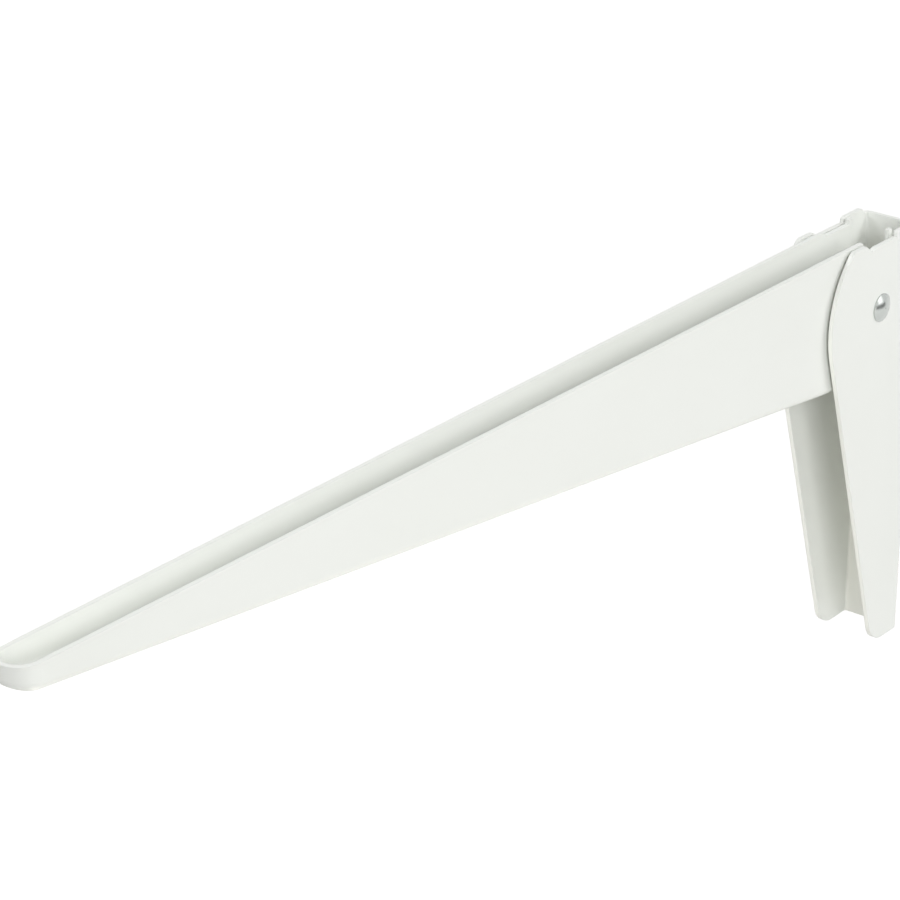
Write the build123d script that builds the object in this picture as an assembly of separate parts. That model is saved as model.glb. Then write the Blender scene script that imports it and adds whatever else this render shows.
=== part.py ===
from build123d import *
import os
from math import acos, atan, atan2, cos, radians, sin, sqrt, tan

# Folding shelf bracket of painted sheet steel. A tapered trough arm turns on one rivet between the
# cheeks of a folded wall channel. All sizes are in millimetres. Frame: the wall is the plane x = 0, x runs
# out along the arm, z is up, z = 0 is the pivot's height, and y = 0 is halfway between the cheeks.

# ---- Sheet ----
CHANNEL_SHEET = 1.5           # wall channel's sheet
CHANNEL_BEND = 2.4            # outer radius of the folds between the web and the cheeks
ARM_SHEET = 1.5               # arm's sheet
ARM_BEND = 2.8                # outer radius of the folds between the arm's floor and walls

# ---- Wall channel ----
CHANNEL_WIDTH = 21.6          # over both cheeks
FOOT_DEPTH = 123.6            # foot, below the pivot
FOOT_CORNER = 9.0             # rounding of each cheek's lower front corner
SHELF_PLANE = 23.8            # tabs, shoulders and the arm's top edges, above the pivot
SADDLE_HEIGHT = 21.9          # web and saddles between tab and shoulder, above the pivot
CHEEK_REACH = 51.7            # furthest point of the cheeks' rounded front, from the wall
CHEEK_ROUND = 34.0            # radius of the rounded front
CHEEK_ROUND_SINK = 1.0        # centre of the rounded front, below the pivot
CHEEK_SLANT = 16.5            # degrees from upright of the straight front below the rounded part
SHOULDER_CORNER = 3.0         # rounding where the rounded front meets the shoulder
SHOULDER_REAR = 33.8          # rear end of the shoulder, from the wall
NOTCH_PLACE = 30.3            # lowest point of the notch behind the shoulder, from the wall
NOTCH_SINK = 0.7              # notch, below the saddle
SADDLE_FRONT = 28.2           # front end of the saddle, from the wall
TAB_FRONT = 15.6              # front edge of each tab, from the wall
TAB_CORNER = 1.0              # rounding of the tab's front corner
TAB_REAR = 5.0                # rear end of each tab's top, from the wall
WALL_SCREW_RADIUS = 2.75      # holes in the web
UPPER_SCREW_HEIGHT = 6.0      # upper hole, above the pivot
WALL_SCREW_SPACING = 105.0    # from the upper hole down to the lower one

# ---- Pivot ----
PIVOT_REACH = 22.9            # rivet's axis, from the wall
SHANK_RADIUS = 2.5
HEAD_RADIUS = 4.7
HEAD_EDGE = 0.4               # straight edge of the head
HEAD_CROWN = 1.3              # dome of the head, above its edge
FORMED_HEAD_RADIUS = 4.4      # end that is pressed over at assembly
FORMED_HEAD_EDGE = 0.5
FORMED_HEAD_CROWN = 0.7
CHEEK_HOLE_CLEARANCE = 0.05   # radial, shank in cheek and washer
ARM_HOLE_CLEARANCE = 0.08     # radial, shank in arm
WASHER_RADIUS = 7.0
WASHER_SHEET = 1.0            # each washer
SIDE_CLEARANCE = 0.1          # between a washer and the arm

# ---- Arm ----
ARM_REACH = 400.0             # tip of the nose, from the wall
ARM_DEPTH_AT_PIVOT = 50.0     # top edge down to the underside, carried back to the pivot
ARM_DEPTH_AT_TIP = 7.3        # the same carried on to the tip of the nose
NOSE_RADIUS = 6.8             # round of the nose in plan; from the pivot the walls close in to it
NOSE_RISE_RUN = 8.0           # last stretch, over which the floor curves up to the tip
NOSE_RISE_RADIUS = 24.0
STEP_FRONT = 32.0             # front of the step in the walls' top edge, from the wall
STEP_RUN = 2.2                # length of the step's ramp
LEFT_STEP_DROP = 1.5          # left wall's top edge behind the step, below the shelf plane
RIGHT_STEP_DROP = 6.0         # the same on the right wall
LUG_FRONT = 16.7              # front edge of the lug behind the step, whose top is on the shelf plane
ARM_REAR = 14.7               # rear edge of the lugs and walls, from the wall
HEEL_CLEARANCE = 0.5          # between the heel's sweep and the web
FLOOR_REAR = 52.0             # rear edge of the floor, from the wall
HEEL_CORNER = 6.0             # rounding of each wall's lower rear corner
SHELF_SCREW_RADIUS = 2.25     # holes in the floor
INNER_SHELF_SCREW = 200.0     # inner hole, from the wall
SHELF_SCREW_SPACING = 160.0   # from the inner hole out to the outer one

# ---- Worked out from the sizes above ----
cheek_outside = CHANNEL_WIDTH / 2
cheek_inside = cheek_outside - CHANNEL_SHEET
arm_outside = cheek_inside - WASHER_SHEET - SIDE_CLEARANCE    # at the pivot
heel_radius = PIVOT_REACH - CHANNEL_SHEET - HEEL_CLEARANCE
underside_slope = (ARM_DEPTH_AT_PIVOT - ARM_DEPTH_AT_TIP) / (ARM_REACH - PIVOT_REACH)
floor_turn = atan(underside_slope)
nose_centre = ARM_REACH - NOSE_RADIUS
wall_run = nose_centre - PIVOT_REACH
wall_turn = acos(NOSE_RADIUS / sqrt(arm_outside**2 + wall_run**2)) - atan2(wall_run, arm_outside)
cross_length = 2 * CHANNEL_WIDTH          # long enough to cut across the whole bracket
blank_depth = 2 * ARM_DEPTH_AT_PIVOT      # deeper than the arm is anywhere


def side_prism(outline, half_width):
    """Extrudes a side outline, drawn in x and z, to both sides of y = 0."""
    return extrude(Plane.XZ * outline, half_width, both=True)


def cross_cylinder(radius, half_width, x=PIVOT_REACH, z=0.0):
    """A cylinder along y, centred on y = 0."""
    return Pos(x, 0, z) * Rot(90, 0, 0) * Cylinder(radius, 2 * half_width)


def vertex_near(shape, x, y):
    """The vertex of a flat shape that lies nearest to a point."""
    return shape.vertices().sort_by_distance((x, y, 0))[0]


def underside(x):
    """Height of the arm's outer underside at a distance from the wall."""
    return SHELF_PLANE - ARM_DEPTH_AT_PIVOT + underside_slope * (x - PIVOT_REACH)


def cheek_outline():
    """Side view of a cheek: foot, slanted front, rounded front, shoulder, notch, saddle and tab."""
    centre = (CHEEK_REACH - CHEEK_ROUND, -CHEEK_ROUND_SINK)
    slant = radians(CHEEK_SLANT)
    tangent = (centre[0] + CHEEK_ROUND * cos(slant), centre[1] - CHEEK_ROUND * sin(slant))
    foot_front = (tangent[0] - tan(slant) * (tangent[1] + FOOT_DEPTH), -FOOT_DEPTH)
    foremost = (CHEEK_REACH, centre[1])
    rise = SHELF_PLANE - centre[1]
    shoulder_front = (centre[0] + sqrt(CHEEK_ROUND**2 - rise**2), SHELF_PLANE)
    front = Polyline((0, -FOOT_DEPTH), foot_front, tangent)
    front += ThreePointArc(tangent, foremost, shoulder_front)
    top = Polyline(
        shoulder_front,
        (SHOULDER_REAR, SHELF_PLANE),
        (NOTCH_PLACE, SADDLE_HEIGHT - NOTCH_SINK),
        (SADDLE_FRONT, SADDLE_HEIGHT),
        (TAB_FRONT, SADDLE_HEIGHT),
        (TAB_FRONT, SHELF_PLANE),
        (TAB_REAR, SHELF_PLANE),
        (CHANNEL_BEND, SADDLE_HEIGHT),
        (0, SADDLE_HEIGHT),
        (0, -FOOT_DEPTH),
    )
    outline = make_face(front + top)
    outline = fillet(vertex_near(outline, *foot_front), FOOT_CORNER)
    outline = fillet(vertex_near(outline, *shoulder_front), SHOULDER_CORNER)
    return fillet(vertex_near(outline, TAB_FRONT, SHELF_PLANE), TAB_CORNER)


def channel_section(outset):
    """Plan of the channel's outside, or of its inside when outset is minus the sheet."""
    half = cheek_outside + outset
    depth = CHEEK_REACH + CHANNEL_SHEET
    section = Pos((depth - outset) / 2, 0) * Rectangle(depth + outset, 2 * half)
    corners = section.vertices().group_by(Axis.X)[0]
    return fillet(corners, CHANNEL_BEND + outset)


def wall_channel():
    """The folded channel that is screwed to the wall."""
    sheet = channel_section(0) - channel_section(-CHANNEL_SHEET)
    channel = Pos(0, 0, -FOOT_DEPTH) * extrude(sheet, FOOT_DEPTH + SHELF_PLANE)
    channel &= side_prism(cheek_outline(), cheek_outside)
    channel -= cross_cylinder(SHANK_RADIUS + CHEEK_HOLE_CLEARANCE, cross_length)
    for height in (UPPER_SCREW_HEIGHT, UPPER_SCREW_HEIGHT - WALL_SCREW_SPACING):
        hole = Pos(0, 0, height) * Rot(0, 90, 0) * Cylinder(WALL_SCREW_RADIUS, 2 * CHANNEL_BEND)
        channel -= hole
    return channel


def trough(inset):
    """The arm's outside as a solid bar, or its hollow when inset is the sheet."""
    radius = NOSE_RADIUS - inset
    nose_start = (nose_centre + radius * sin(wall_turn), radius * cos(wall_turn))
    root = (0, nose_start[1] + nose_start[0] * tan(wall_turn))
    sides = Polyline((nose_start[0], -nose_start[1]), (0, -root[1]), root, nose_start)
    nose = ThreePointArc(nose_start, (nose_centre + radius, 0), (nose_start[0], -nose_start[1]))
    bar = Pos(0, 0, SHELF_PLANE - blank_depth) * extrude(make_face(sides + nose), blank_depth)
    lift = inset * sqrt(1 + underside_slope**2)
    rise_radius = NOSE_RISE_RADIUS - inset
    rise_reach = NOSE_RISE_RUN + NOSE_RISE_RADIUS * sin(floor_turn)
    rise_centre = underside(ARM_REACH - NOSE_RISE_RUN) + NOSE_RISE_RADIUS * cos(floor_turn)
    rise_start = (
        ARM_REACH - rise_reach + rise_radius * sin(floor_turn),
        rise_centre - rise_radius * cos(floor_turn),
    )
    rise_end = (ARM_REACH, rise_centre - sqrt(rise_radius**2 - rise_reach**2))
    below = RadiusArc(rise_start, rise_end, -rise_radius) + Polyline(
        rise_end,
        (ARM_REACH, -blank_depth),
        (0, -blank_depth),
        (0, underside(0) + lift),
        rise_start,
    )
    bar -= side_prism(make_face(below), cross_length)
    floor = bar.faces().filter_by(lambda face: face.normal_at().Z < -0.5)
    rim = floor.edges().filter_by(Axis.Y, reverse=True)
    return fillet(rim, ARM_BEND - inset)


def arm_outline():
    """Side view of the arm: stepped top edge, rear lug, upright rear edge, round heel, floor's rear end."""
    heel_corner = (ARM_REAR, -sqrt(heel_radius**2 - (PIVOT_REACH - ARM_REAR) ** 2))
    heel_bottom = (PIVOT_REACH, -heel_radius)
    edges = RadiusArc(heel_corner, heel_bottom, -heel_radius) + Polyline(
        heel_bottom,
        (FLOOR_REAR, underside(FLOOR_REAR)),
        (FLOOR_REAR, -blank_depth),
        (ARM_REACH, -blank_depth),
        (ARM_REACH, SHELF_PLANE),
        (STEP_FRONT, SHELF_PLANE),
        (STEP_FRONT - STEP_RUN, SHELF_PLANE - LEFT_STEP_DROP),
        (LUG_FRONT, SHELF_PLANE - LEFT_STEP_DROP),
        (LUG_FRONT, SHELF_PLANE),
        (ARM_REAR, SHELF_PLANE),
        heel_corner,
    )
    outline = make_face(edges)
    return fillet(vertex_near(outline, *heel_corner), HEEL_CORNER)


def right_cut():
    """What the right wall loses behind the step, down to its deeper top edge."""
    profile = Polyline(
        (STEP_FRONT, SHELF_PLANE),
        (STEP_FRONT - STEP_RUN, SHELF_PLANE - RIGHT_STEP_DROP),
        (LUG_FRONT, SHELF_PLANE - RIGHT_STEP_DROP),
        (LUG_FRONT, SHELF_PLANE),
        close=True,
    )
    return Pos(0, arm_outside, 0) * side_prism(make_face(profile), arm_outside)


def arm():
    """The tapered open trough that carries the shelf, with its wall wrapped round the nose."""
    sheet = trough(0) - trough(ARM_SHEET)
    sheet &= side_prism(arm_outline(), cross_length)
    sheet -= right_cut()
    sheet -= cross_cylinder(SHANK_RADIUS + ARM_HOLE_CLEARANCE, cross_length)
    for reach in (INNER_SHELF_SCREW, INNER_SHELF_SCREW + SHELF_SCREW_SPACING):
        floor_height = underside(reach)
        sheet -= Pos(reach, 0, floor_height) * Cylinder(SHELF_SCREW_RADIUS, 2 * ARM_BEND)
    return sheet


def rivet_end(radius, edge, crown):
    """Half section of a low domed rivet head, standing on the cheek's outer face."""
    base = cheek_outside
    dome_radius = (radius**2 + crown**2) / (2 * crown)
    between_rise = crown - dome_radius + sqrt(dome_radius**2 - (radius / 2) ** 2)
    lines = Polyline((0, base + edge + crown), (0, base), (radius, base), (radius, base + edge))
    lines += ThreePointArc(
        (radius, base + edge),
        (radius / 2, base + edge + between_rise),
        (0, base + edge + crown),
    )
    return make_face(lines)


def pivot_rivet():
    """The rivet: factory head on the right cheek, shank, and the head formed over the left cheek."""
    head = revolve(rivet_end(HEAD_RADIUS, HEAD_EDGE, HEAD_CROWN), Axis.Y)
    formed = revolve(rivet_end(FORMED_HEAD_RADIUS, FORMED_HEAD_EDGE, FORMED_HEAD_CROWN), Axis.Y)
    shank = cross_cylinder(SHANK_RADIUS, cheek_outside, x=0.0)
    return Pos(PIVOT_REACH, 0, 0) * (head + shank + formed.mirror(Plane.XZ))


def spacer_washer(side):
    """The washer that fills the gap between a cheek and the arm; side is 1 or -1."""
    disc = Cylinder(WASHER_RADIUS, WASHER_SHEET)
    disc -= Cylinder(SHANK_RADIUS + CHEEK_HOLE_CLEARANCE, WASHER_SHEET)
    middle = side * (cheek_inside - WASHER_SHEET / 2)
    return Pos(PIVOT_REACH, middle, 0) * Rot(90, 0, 0) * disc


PIECES = {
    "wall_channel": wall_channel(),
    "arm": arm(),
    "pivot_rivet": pivot_rivet(),
    "spacer_washer_right": spacer_washer(1),
    "spacer_washer_left": spacer_washer(-1),
}

os.makedirs("parts", exist_ok=True)
for name, piece in PIECES.items():
    export_step(piece, f"parts/{name}.step")
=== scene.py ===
"""Looks of a folding shelf bracket: powder-coated sheet, a zinc-plated rivet, a pale studio and its camera.

Every length is in metres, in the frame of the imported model: x runs out of the wall along the arm, z is up,
the plane y = 0 halves the bracket and z = 0 is the height of the pivot.
"""

import logging
import math
from dataclasses import dataclass, field
from enum import Enum

import bpy
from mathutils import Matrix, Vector


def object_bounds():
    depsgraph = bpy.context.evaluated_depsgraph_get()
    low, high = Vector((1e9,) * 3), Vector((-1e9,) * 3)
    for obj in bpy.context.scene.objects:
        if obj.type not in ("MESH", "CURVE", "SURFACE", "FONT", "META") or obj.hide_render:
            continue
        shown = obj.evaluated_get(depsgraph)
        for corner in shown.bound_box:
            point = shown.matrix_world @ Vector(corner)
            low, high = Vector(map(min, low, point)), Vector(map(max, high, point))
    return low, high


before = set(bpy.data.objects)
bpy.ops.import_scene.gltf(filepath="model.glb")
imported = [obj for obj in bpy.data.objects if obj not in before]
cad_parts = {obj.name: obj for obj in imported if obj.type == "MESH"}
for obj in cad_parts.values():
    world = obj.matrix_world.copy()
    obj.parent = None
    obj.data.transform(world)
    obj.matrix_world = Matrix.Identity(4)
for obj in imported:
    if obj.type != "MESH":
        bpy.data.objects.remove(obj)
CAD_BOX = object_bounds()

MM = 0.001
SRGB_TOE_END = 0.04045
SRGB_TOE_SLOPE = 12.92
SRGB_OFFSET = 0.055
SRGB_POWER = 2.4
# Sockets of a Mix node that is set to colours; their names repeat, so they go by number.
MIX_FACTOR, MIX_FIRST, MIX_SECOND, MIX_RESULT = 0, 6, 7, 2
LOG = logging.getLogger("folding_shelf_bracket")


# ---- Small helpers ----


def linear(hex_colour: str) -> tuple[float, float, float, float]:
    """Turns an sRGB hex colour into the linear colour that the shaders take.

    Args:
        hex_colour: Six hex digits, red first.

    Returns:
        Linear red, green, blue and an alpha of 1.
    """
    shares = [int(hex_colour[i:i + 2], 16) / 255 for i in (0, 2, 4)]
    flat = [
        s / SRGB_TOE_SLOPE if s <= SRGB_TOE_END else ((s + SRGB_OFFSET) / (1 + SRGB_OFFSET)) ** SRGB_POWER
        for s in shares
    ]
    return (*flat, 1.0)


WHITE = linear("FFFFFF")


def add_node(tree: bpy.types.NodeTree, kind: str, settings: dict | None = None, **links: object) -> bpy.types.Node:
    """Adds one shader node with its settings and links.

    Args:
        tree: The material's or the world's node tree.
        kind: Blender's type name of the node.
        settings: Values by the name of a property, or of an input socket.
        links: An output socket for each input, with its name's blanks as underscores.

    Returns:
        The new node.
    """
    node = tree.nodes.new(kind)
    for name, value in (settings or {}).items():
        if name in node.inputs:
            node.inputs[name].default_value = value
        else:
            setattr(node, name, value)
    for name, output in links.items():
        tree.links.new(output, node.inputs[name.replace("_", " ")])
    return node


def deselect_all() -> None:
    """Leaves edit mode and deselects every object."""
    if bpy.context.mode != "OBJECT":
        bpy.ops.object.mode_set(mode="OBJECT")
    bpy.ops.object.select_all(action="DESELECT")


# ---- Finishes ----


class FinishName(Enum):
    """The bracket's finishes, by the names of the record's material slots."""

    POWDER_COAT = "white_powder_coat"
    BRIGHT_ZINC = "zinc_plated_steel"
    DULL_ZINC = "zinc_plated_washer"


@dataclass(frozen=True)
class PowderCoat:
    """White polyester powder coat on sheet steel, sprayed dry and baked.

    It gives an even, satin, faintly warm-green white with a very fine orange peel, and its film rounds
    the sharp edges of the sheet, which shows in their shading.
    """

    colour: str = "F1F3EF"
    shade: str = "EDEFEA"
    roughness: float = 0.42
    peel_mm: float = 1.6
    peel_detail: float = 1.0
    peel_depth_mm: float = 0.012
    peel_strength: float = 0.35
    edge_mm: float = 0.45
    edge_samples: int = 8
    cloud_mm: float = 45.0
    cloud_detail: float = 2.0

    def material(self) -> bpy.types.Material:
        """Builds the powder coat's material."""
        made = bpy.data.materials.new(FinishName.POWDER_COAT.value)
        made.use_nodes = True
        tree = made.node_tree
        shader = tree.nodes["Principled BSDF"]
        place = add_node(tree, "ShaderNodeTexCoord").outputs["Object"]
        cloud = add_node(
            tree, "ShaderNodeTexNoise",
            {"Scale": 1 / (self.cloud_mm * MM), "Detail": self.cloud_detail}, Vector=place,
        )
        tint = add_node(tree, "ShaderNodeMix", {"data_type": "RGBA"})
        tint.inputs[MIX_FIRST].default_value = linear(self.colour)
        tint.inputs[MIX_SECOND].default_value = linear(self.shade)
        tree.links.new(cloud.outputs["Fac"], tint.inputs[MIX_FACTOR])
        tree.links.new(tint.outputs[MIX_RESULT], shader.inputs["Base Color"])
        peel = add_node(
            tree, "ShaderNodeTexNoise",
            {"Scale": 1 / (self.peel_mm * MM), "Detail": self.peel_detail}, Vector=place,
        )
        edge = add_node(
            tree, "ShaderNodeBevel", {"Radius": self.edge_mm * MM, "samples": self.edge_samples}
        )
        bump = add_node(
            tree, "ShaderNodeBump",
            {"Strength": self.peel_strength, "Distance": self.peel_depth_mm * MM},
            Height=peel.outputs["Fac"], Normal=edge.outputs["Normal"],
        )
        tree.links.new(bump.outputs["Normal"], shader.inputs["Normal"])
        shader.inputs["Roughness"].default_value = self.roughness
        return made


@dataclass(frozen=True)
class ZincPlate:
    """Electroplated zinc with a blue passivate, over cold-headed or stamped steel.

    It gives a cool, bright grey that mirrors softly, with faint streaks from the tool.
    """

    name: FinishName = FinishName.BRIGHT_ZINC
    colour: str = "BDC1BE"
    roughness: float = 0.19
    streak_mm: float = 0.7
    streak_detail: float = 3.0
    streak_depth_mm: float = 0.01
    streak_strength: float = 0.5

    def material(self) -> bpy.types.Material:
        """Builds the zinc plate's material."""
        made = bpy.data.materials.new(self.name.value)
        made.use_nodes = True
        tree = made.node_tree
        shader = tree.nodes["Principled BSDF"]
        place = add_node(tree, "ShaderNodeTexCoord").outputs["Object"]
        grain = add_node(
            tree, "ShaderNodeTexNoise",
            {"Scale": 1 / (self.streak_mm * MM), "Detail": self.streak_detail}, Vector=place,
        )
        bump = add_node(
            tree, "ShaderNodeBump",
            {"Strength": self.streak_strength, "Distance": self.streak_depth_mm * MM},
            Height=grain.outputs["Fac"],
        )
        tree.links.new(bump.outputs["Normal"], shader.inputs["Normal"])
        shader.inputs["Base Color"].default_value = linear(self.colour)
        shader.inputs["Metallic"].default_value = 1.0
        shader.inputs["Roughness"].default_value = self.roughness
        return made


# ---- The bracket ----


@dataclass
class DressedNodes:
    """CAD nodes that keep their shape and take one finish."""

    nodes: tuple[str, ...]
    finish: PowderCoat | ZincPlate

    def build(self) -> None:
        """Gives each node the finish."""
        made = self.finish.material()
        for name in self.nodes:
            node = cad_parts[name]
            node.data.materials.clear()
            node.data.materials.append(made)
            LOG.info("dressed %s with %s", name, made.name)


# ---- Studio ----


@dataclass(frozen=True)
class Softbox:
    """One soft lamp, hung in a direction from the middle of the bracket and turned to it.

    The camera doesn't see the lamp itself, only its light.
    """

    name: str
    towards: tuple[float, float, float]
    distance: float
    size: float
    power: float
    colour: str = "FFFFFF"

    def build(self, middle: Vector) -> None:
        """Hangs the lamp.

        Args:
            middle: The point that the lamp is turned to.
        """
        lamp = bpy.data.lights.new(self.name, "AREA")
        lamp.size = self.size
        lamp.energy = self.power
        lamp.color = linear(self.colour)[:3]
        held = bpy.data.objects.new(self.name, lamp)
        bpy.context.scene.collection.objects.link(held)
        away = Vector(self.towards).normalized()
        held.location = middle + away * self.distance
        held.rotation_euler = (-away).to_track_quat("-Z", "Y").to_euler()
        held.visible_camera = False
        LOG.info("hung %s", self.name)


@dataclass
class Studio:
    """Pale floor, white surround, soft lamps and a grey card that only polished metal shows.

    Each of glow_near and glow_far is a distance from the middle of the floor and the glow there. The glow
    rises outwards as the light of the lamps falls, so the floor looks white throughout.
    """

    middle: tuple[float, float, float] = (0.15, 0.0, 0.0)
    floor_drop: float = 0.25
    floor_size: float = 8.0
    floor_colour: str = "C6C6C4"
    matt: float = 0.9
    glow_near: tuple[float, float] = (0.5, 0.56)
    glow_far: tuple[float, float] = (3.5, 0.92)
    ambient: float = 0.15
    card_towards: tuple[float, float, float] = (-0.41, 0.85, -0.16)
    card_distance: float = 0.8
    card_size: tuple[float, float] = (0.7, 0.17)
    card_colour: str = "A0A0A0"
    lamps: list[Softbox] = field(
        default_factory=lambda: [
            Softbox("front_lamp", (0.55, 0.73, 0.4), 3.2, 1.4, 54.5),
            Softbox("rear_lamp", (-0.45, 0.65, 0.62), 2.2, 1.0, 16.0),
            Softbox("left_lamp", (0.4, -0.5, 0.77), 2.2, 1.0, 19.0),
            Softbox("back_lamp", (-0.25, -0.95, 0.2), 3.0, 1.4, 35.0),
            Softbox("low_lamp", (-0.5, 0.83, 0.2), 1.1, 0.44, 0.75),
            Softbox("foot_lamp", (0.15, 0.02, -0.24), 0.283, 0.08, 0.26, "FFF9EC"),
        ]
    )

    def seen(self, tree: bpy.types.NodeTree) -> bpy.types.NodeSocket:
        """Gives 1 for the rays by which camera, metal and glass see the surround, and 0 for light.

        Args:
            tree: The node tree that asks.
        """
        path = add_node(tree, "ShaderNodeLightPath")
        mirrored = add_node(tree, "ShaderNodeMath", {"operation": "MAXIMUM"})
        tree.links.new(path.outputs["Is Glossy Ray"], mirrored.inputs[0])
        tree.links.new(path.outputs["Is Transmission Ray"], mirrored.inputs[1])
        either = add_node(tree, "ShaderNodeMath", {"operation": "MAXIMUM"})
        tree.links.new(path.outputs["Is Camera Ray"], either.inputs[0])
        tree.links.new(mirrored.outputs[0], either.inputs[1])
        return either.outputs[0]

    def floor(self, lowest: float) -> None:
        """Lays the floor below the bracket; it takes the bracket's shadow and looks white beside it.

        Args:
            lowest: Height of the bracket's lowest point.
        """
        deselect_all()
        bpy.ops.mesh.primitive_plane_add(size=self.floor_size, location=(0, 0, lowest - self.floor_drop))
        plane = bpy.context.object
        plane.name = "studio_floor"
        made = bpy.data.materials.new("matt_white_floor")
        made.use_nodes = True
        tree = made.node_tree
        shader = tree.nodes["Principled BSDF"]
        shader.inputs["Base Color"].default_value = linear(self.floor_colour)
        shader.inputs["Roughness"].default_value = self.matt
        place = add_node(tree, "ShaderNodeTexCoord").outputs["Object"]
        reach = add_node(tree, "ShaderNodeVectorMath", {"operation": "LENGTH"}, Vector=place)
        (near_reach, near_glow), (far_reach, far_glow) = self.glow_near, self.glow_far
        fade = add_node(
            tree, "ShaderNodeMapRange",
            {"From Min": near_reach, "From Max": far_reach, "To Min": near_glow, "To Max": far_glow},
            Value=reach.outputs["Value"],
        )
        lift = add_node(tree, "ShaderNodeMath", {"operation": "MULTIPLY"})
        tree.links.new(self.seen(tree), lift.inputs[0])
        tree.links.new(fade.outputs["Result"], lift.inputs[1])
        glow = add_node(tree, "ShaderNodeEmission", {"Color": WHITE}, Strength=lift.outputs[0])
        both = add_node(tree, "ShaderNodeAddShader")
        tree.links.new(shader.outputs["BSDF"], both.inputs[0])
        tree.links.new(glow.outputs[0], both.inputs[1])
        tree.links.new(both.outputs[0], tree.nodes["Material Output"].inputs["Surface"])
        plane.data.materials.append(made)

    def grey_card(self) -> None:
        """Hangs a grey card below the low lamp, for the dark band that the rivet's dome shows."""
        deselect_all()
        bpy.ops.mesh.primitive_plane_add(size=1.0)
        card = bpy.context.object
        card.name = "grey_card"
        away = Vector(self.card_towards).normalized()
        card.location = away * self.card_distance
        card.rotation_euler = (-away).to_track_quat("Z", "Y").to_euler()
        card.scale = (*self.card_size, 1.0)
        made = bpy.data.materials.new("matt_grey_card")
        made.use_nodes = True
        shader = made.node_tree.nodes["Principled BSDF"]
        shader.inputs["Base Color"].default_value = linear(self.card_colour)
        shader.inputs["Roughness"].default_value = self.matt
        card.data.materials.append(made)
        card.visible_camera = False
        card.visible_diffuse = False
        card.visible_shadow = False

    def world(self) -> None:
        """Soft light from all round, and plain white where the camera sees past the floor."""
        world = bpy.data.worlds.new("studio_surround")
        bpy.context.scene.world = world
        world.use_nodes = True
        tree = world.node_tree
        tree.nodes.clear()
        soft = add_node(tree, "ShaderNodeBackground", {"Color": WHITE, "Strength": self.ambient})
        white = add_node(tree, "ShaderNodeBackground", {"Color": WHITE, "Strength": 1.0})
        mix = add_node(tree, "ShaderNodeMixShader")
        tree.links.new(self.seen(tree), mix.inputs[0])
        tree.links.new(soft.outputs[0], mix.inputs[1])
        tree.links.new(white.outputs[0], mix.inputs[2])
        add_node(tree, "ShaderNodeOutputWorld", {}, Surface=mix.outputs[0])

    def build(self, lowest: float) -> None:
        """Builds floor, surround, lamps and card.

        Args:
            lowest: Height of the bracket's lowest point.
        """
        self.floor(lowest)
        self.grey_card()
        self.world()
        for lamp in self.lamps:
            lamp.build(Vector(self.middle))


@dataclass
class Camera:
    """A long lens above and in front of the bracket's right cheek."""

    place: tuple[float, float, float] = (0.864231, 0.509115, 0.386719)
    azimuth: float = 128.755
    elevation: float = 24.2866
    focal_widths: float = 3.61535
    sensor_mm: float = 36.0
    clip: tuple[float, float] = (0.05, 50.0)

    def build(self) -> None:
        """Makes the camera and hands it to the scene."""
        lens = bpy.data.cameras.new("studio_camera")
        lens.sensor_width = self.sensor_mm
        lens.lens = self.sensor_mm * self.focal_widths
        lens.clip_start, lens.clip_end = self.clip
        held = bpy.data.objects.new("studio_camera", lens)
        bpy.context.scene.collection.objects.link(held)
        turn, rise = math.radians(self.azimuth), math.radians(self.elevation)
        back = Vector((math.sin(turn) * math.cos(rise), -math.cos(turn) * math.cos(rise), math.sin(rise)))
        held.location = self.place
        held.rotation_euler = (-back).to_track_quat("-Z", "Y").to_euler()
        bpy.context.scene.camera = held


def main() -> None:
    """Dresses the bracket and sets up the studio and its camera."""
    logging.basicConfig(level=logging.INFO, format="%(message)s")
    bpy.context.scene.view_settings.view_transform = "Standard"
    DressedNodes(("wall_channel", "arm"), PowderCoat()).build()
    DressedNodes(("pivot_rivet",), ZincPlate()).build()
    DressedNodes(
        ("spacer_washer_right", "spacer_washer_left"), ZincPlate(FinishName.DULL_ZINC, "B9BEC0", 0.4)
    ).build()
    Studio().build(CAD_BOX[0].z)
    Camera().build()


if __name__ == "__main__":
    main()
